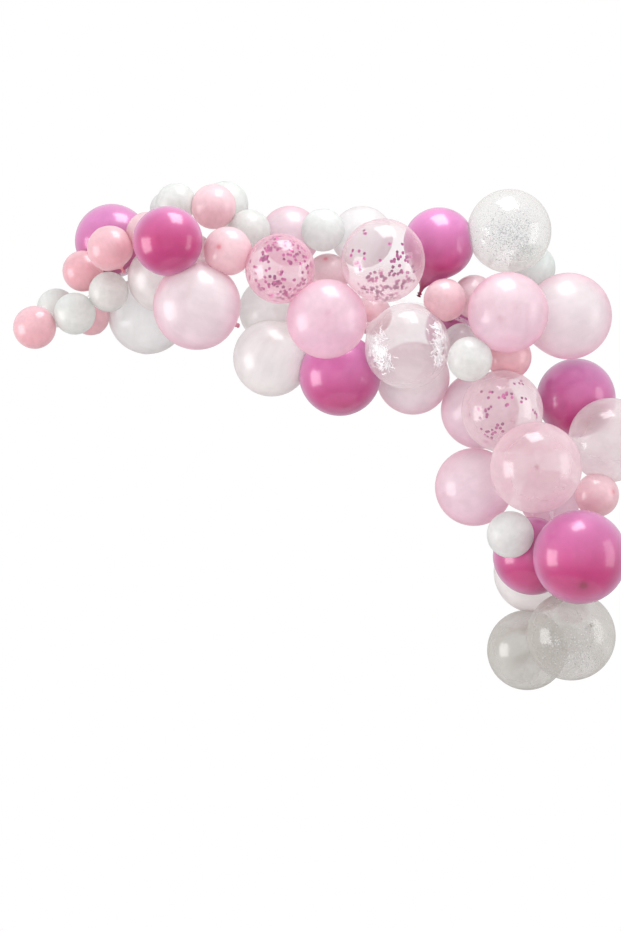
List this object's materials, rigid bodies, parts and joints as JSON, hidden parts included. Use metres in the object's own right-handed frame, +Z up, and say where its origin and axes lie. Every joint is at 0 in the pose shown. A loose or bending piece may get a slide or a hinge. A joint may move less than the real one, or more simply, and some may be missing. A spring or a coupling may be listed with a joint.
{
  "type": "balloon garland arch",
  "caption": "Hanging balloon garland in the shape of a quarter arch: large and small pink, white and clear latex balloons on a clear punched strip.",
  "frame": {"origin": "on the back face of the clear strip, at the hanging point in the middle of the arch", "axes": "+Z up, +X along the arch to the viewer's right, +Y away from the viewer, out of the strip's back face"},
  "size_m": [1.9063, 0.7213, 1.5382],
  "materials": {
    "hot_pink_latex": "glossy pearl latex",
    "pearl_pink_latex": "glossy pearl latex, a little see-through",
    "pearl_white_latex": "glossy pearl latex, a little see-through",
    "clear_pearl_latex": "glossy see-through latex with a pearl haze",
    "clear_latex": "glossy clear latex",
    "soft_pink_latex": "satin latex",
    "white_latex": "satin latex",
    "clear_strip": "clear pressed plastic",
    "pink_confetti": "metallic tissue",
    "silver_confetti": "metallic tissue"
  },
  "bodies": {
    "root": {"garland_strip": "clear_strip", "small_pink_12": "soft_pink_latex", "small_pink_3": "soft_pink_latex", "pearl_white_6": "pearl_white_latex", "pearl_pink_1": "pearl_pink_latex", "small_pink_5": "soft_pink_latex", "small_white_4": "white_latex", "small_white_7": "white_latex", "small_white_8": "white_latex", "hot_pink_3": "hot_pink_latex", "hot_pink_4": "hot_pink_latex", "pearl_pink_5": "pearl_pink_latex", "clear_pearl_1": "clear_pearl_latex", "pearl_pink_8": "pearl_pink_latex", "hot_pink_7": "hot_pink_latex", "small_pink_1": "soft_pink_latex", "small_white_2": "white_latex", "small_white_3": "white_latex", "small_pink_6": "soft_pink_latex", "clear_glitter_1": "clear_latex", "small_pink_4": "soft_pink_latex", "small_pink_7": "soft_pink_latex", "clear_confetti_1": "clear_latex", "hot_pink_2": "hot_pink_latex", "pearl_pink_3": "pearl_pink_latex", "clear_confetti_2": "clear_latex", "pearl_pink_4": "pearl_pink_latex", "clear_shred_1": "clear_latex", "small_pink_9": "soft_pink_latex", "clear_confetti_3": "clear_latex", "small_white_9": "white_latex", "small_pink_13": "soft_pink_latex", "clear_pearl_2": "clear_pearl_latex", "clear_glitter_2": "clear_latex", "hot_pink_6": "hot_pink_latex", "small_white_10": "white_latex", "small_pink_2": "soft_pink_latex", "small_white_1": "white_latex", "small_white_5": "white_latex", "small_white_6": "white_latex", "pearl_white_1": "pearl_white_latex", "pearl_white_2": "pearl_white_latex", "pearl_white_3": "pearl_white_latex", "hot_pink_1": "hot_pink_latex", "small_pink_8": "soft_pink_latex", "small_pink_14": "soft_pink_latex", "pearl_pink_2": "pearl_pink_latex", "pearl_white_4": "pearl_white_latex", "small_white_11": "white_latex", "small_pink_10": "soft_pink_latex", "pearl_pink_6": "pearl_pink_latex", "small_pink_11": "soft_pink_latex", "small_pearl_1": "pearl_white_latex", "hot_pink_8": "hot_pink_latex", "pearl_pink_7": "pearl_pink_latex", "hot_pink_5": "hot_pink_latex", "pearl_pink_9": "pearl_pink_latex", "clear_pearl_3": "clear_pearl_latex", "pearl_white_5": "pearl_white_latex"}
  },
  "joints": []
}
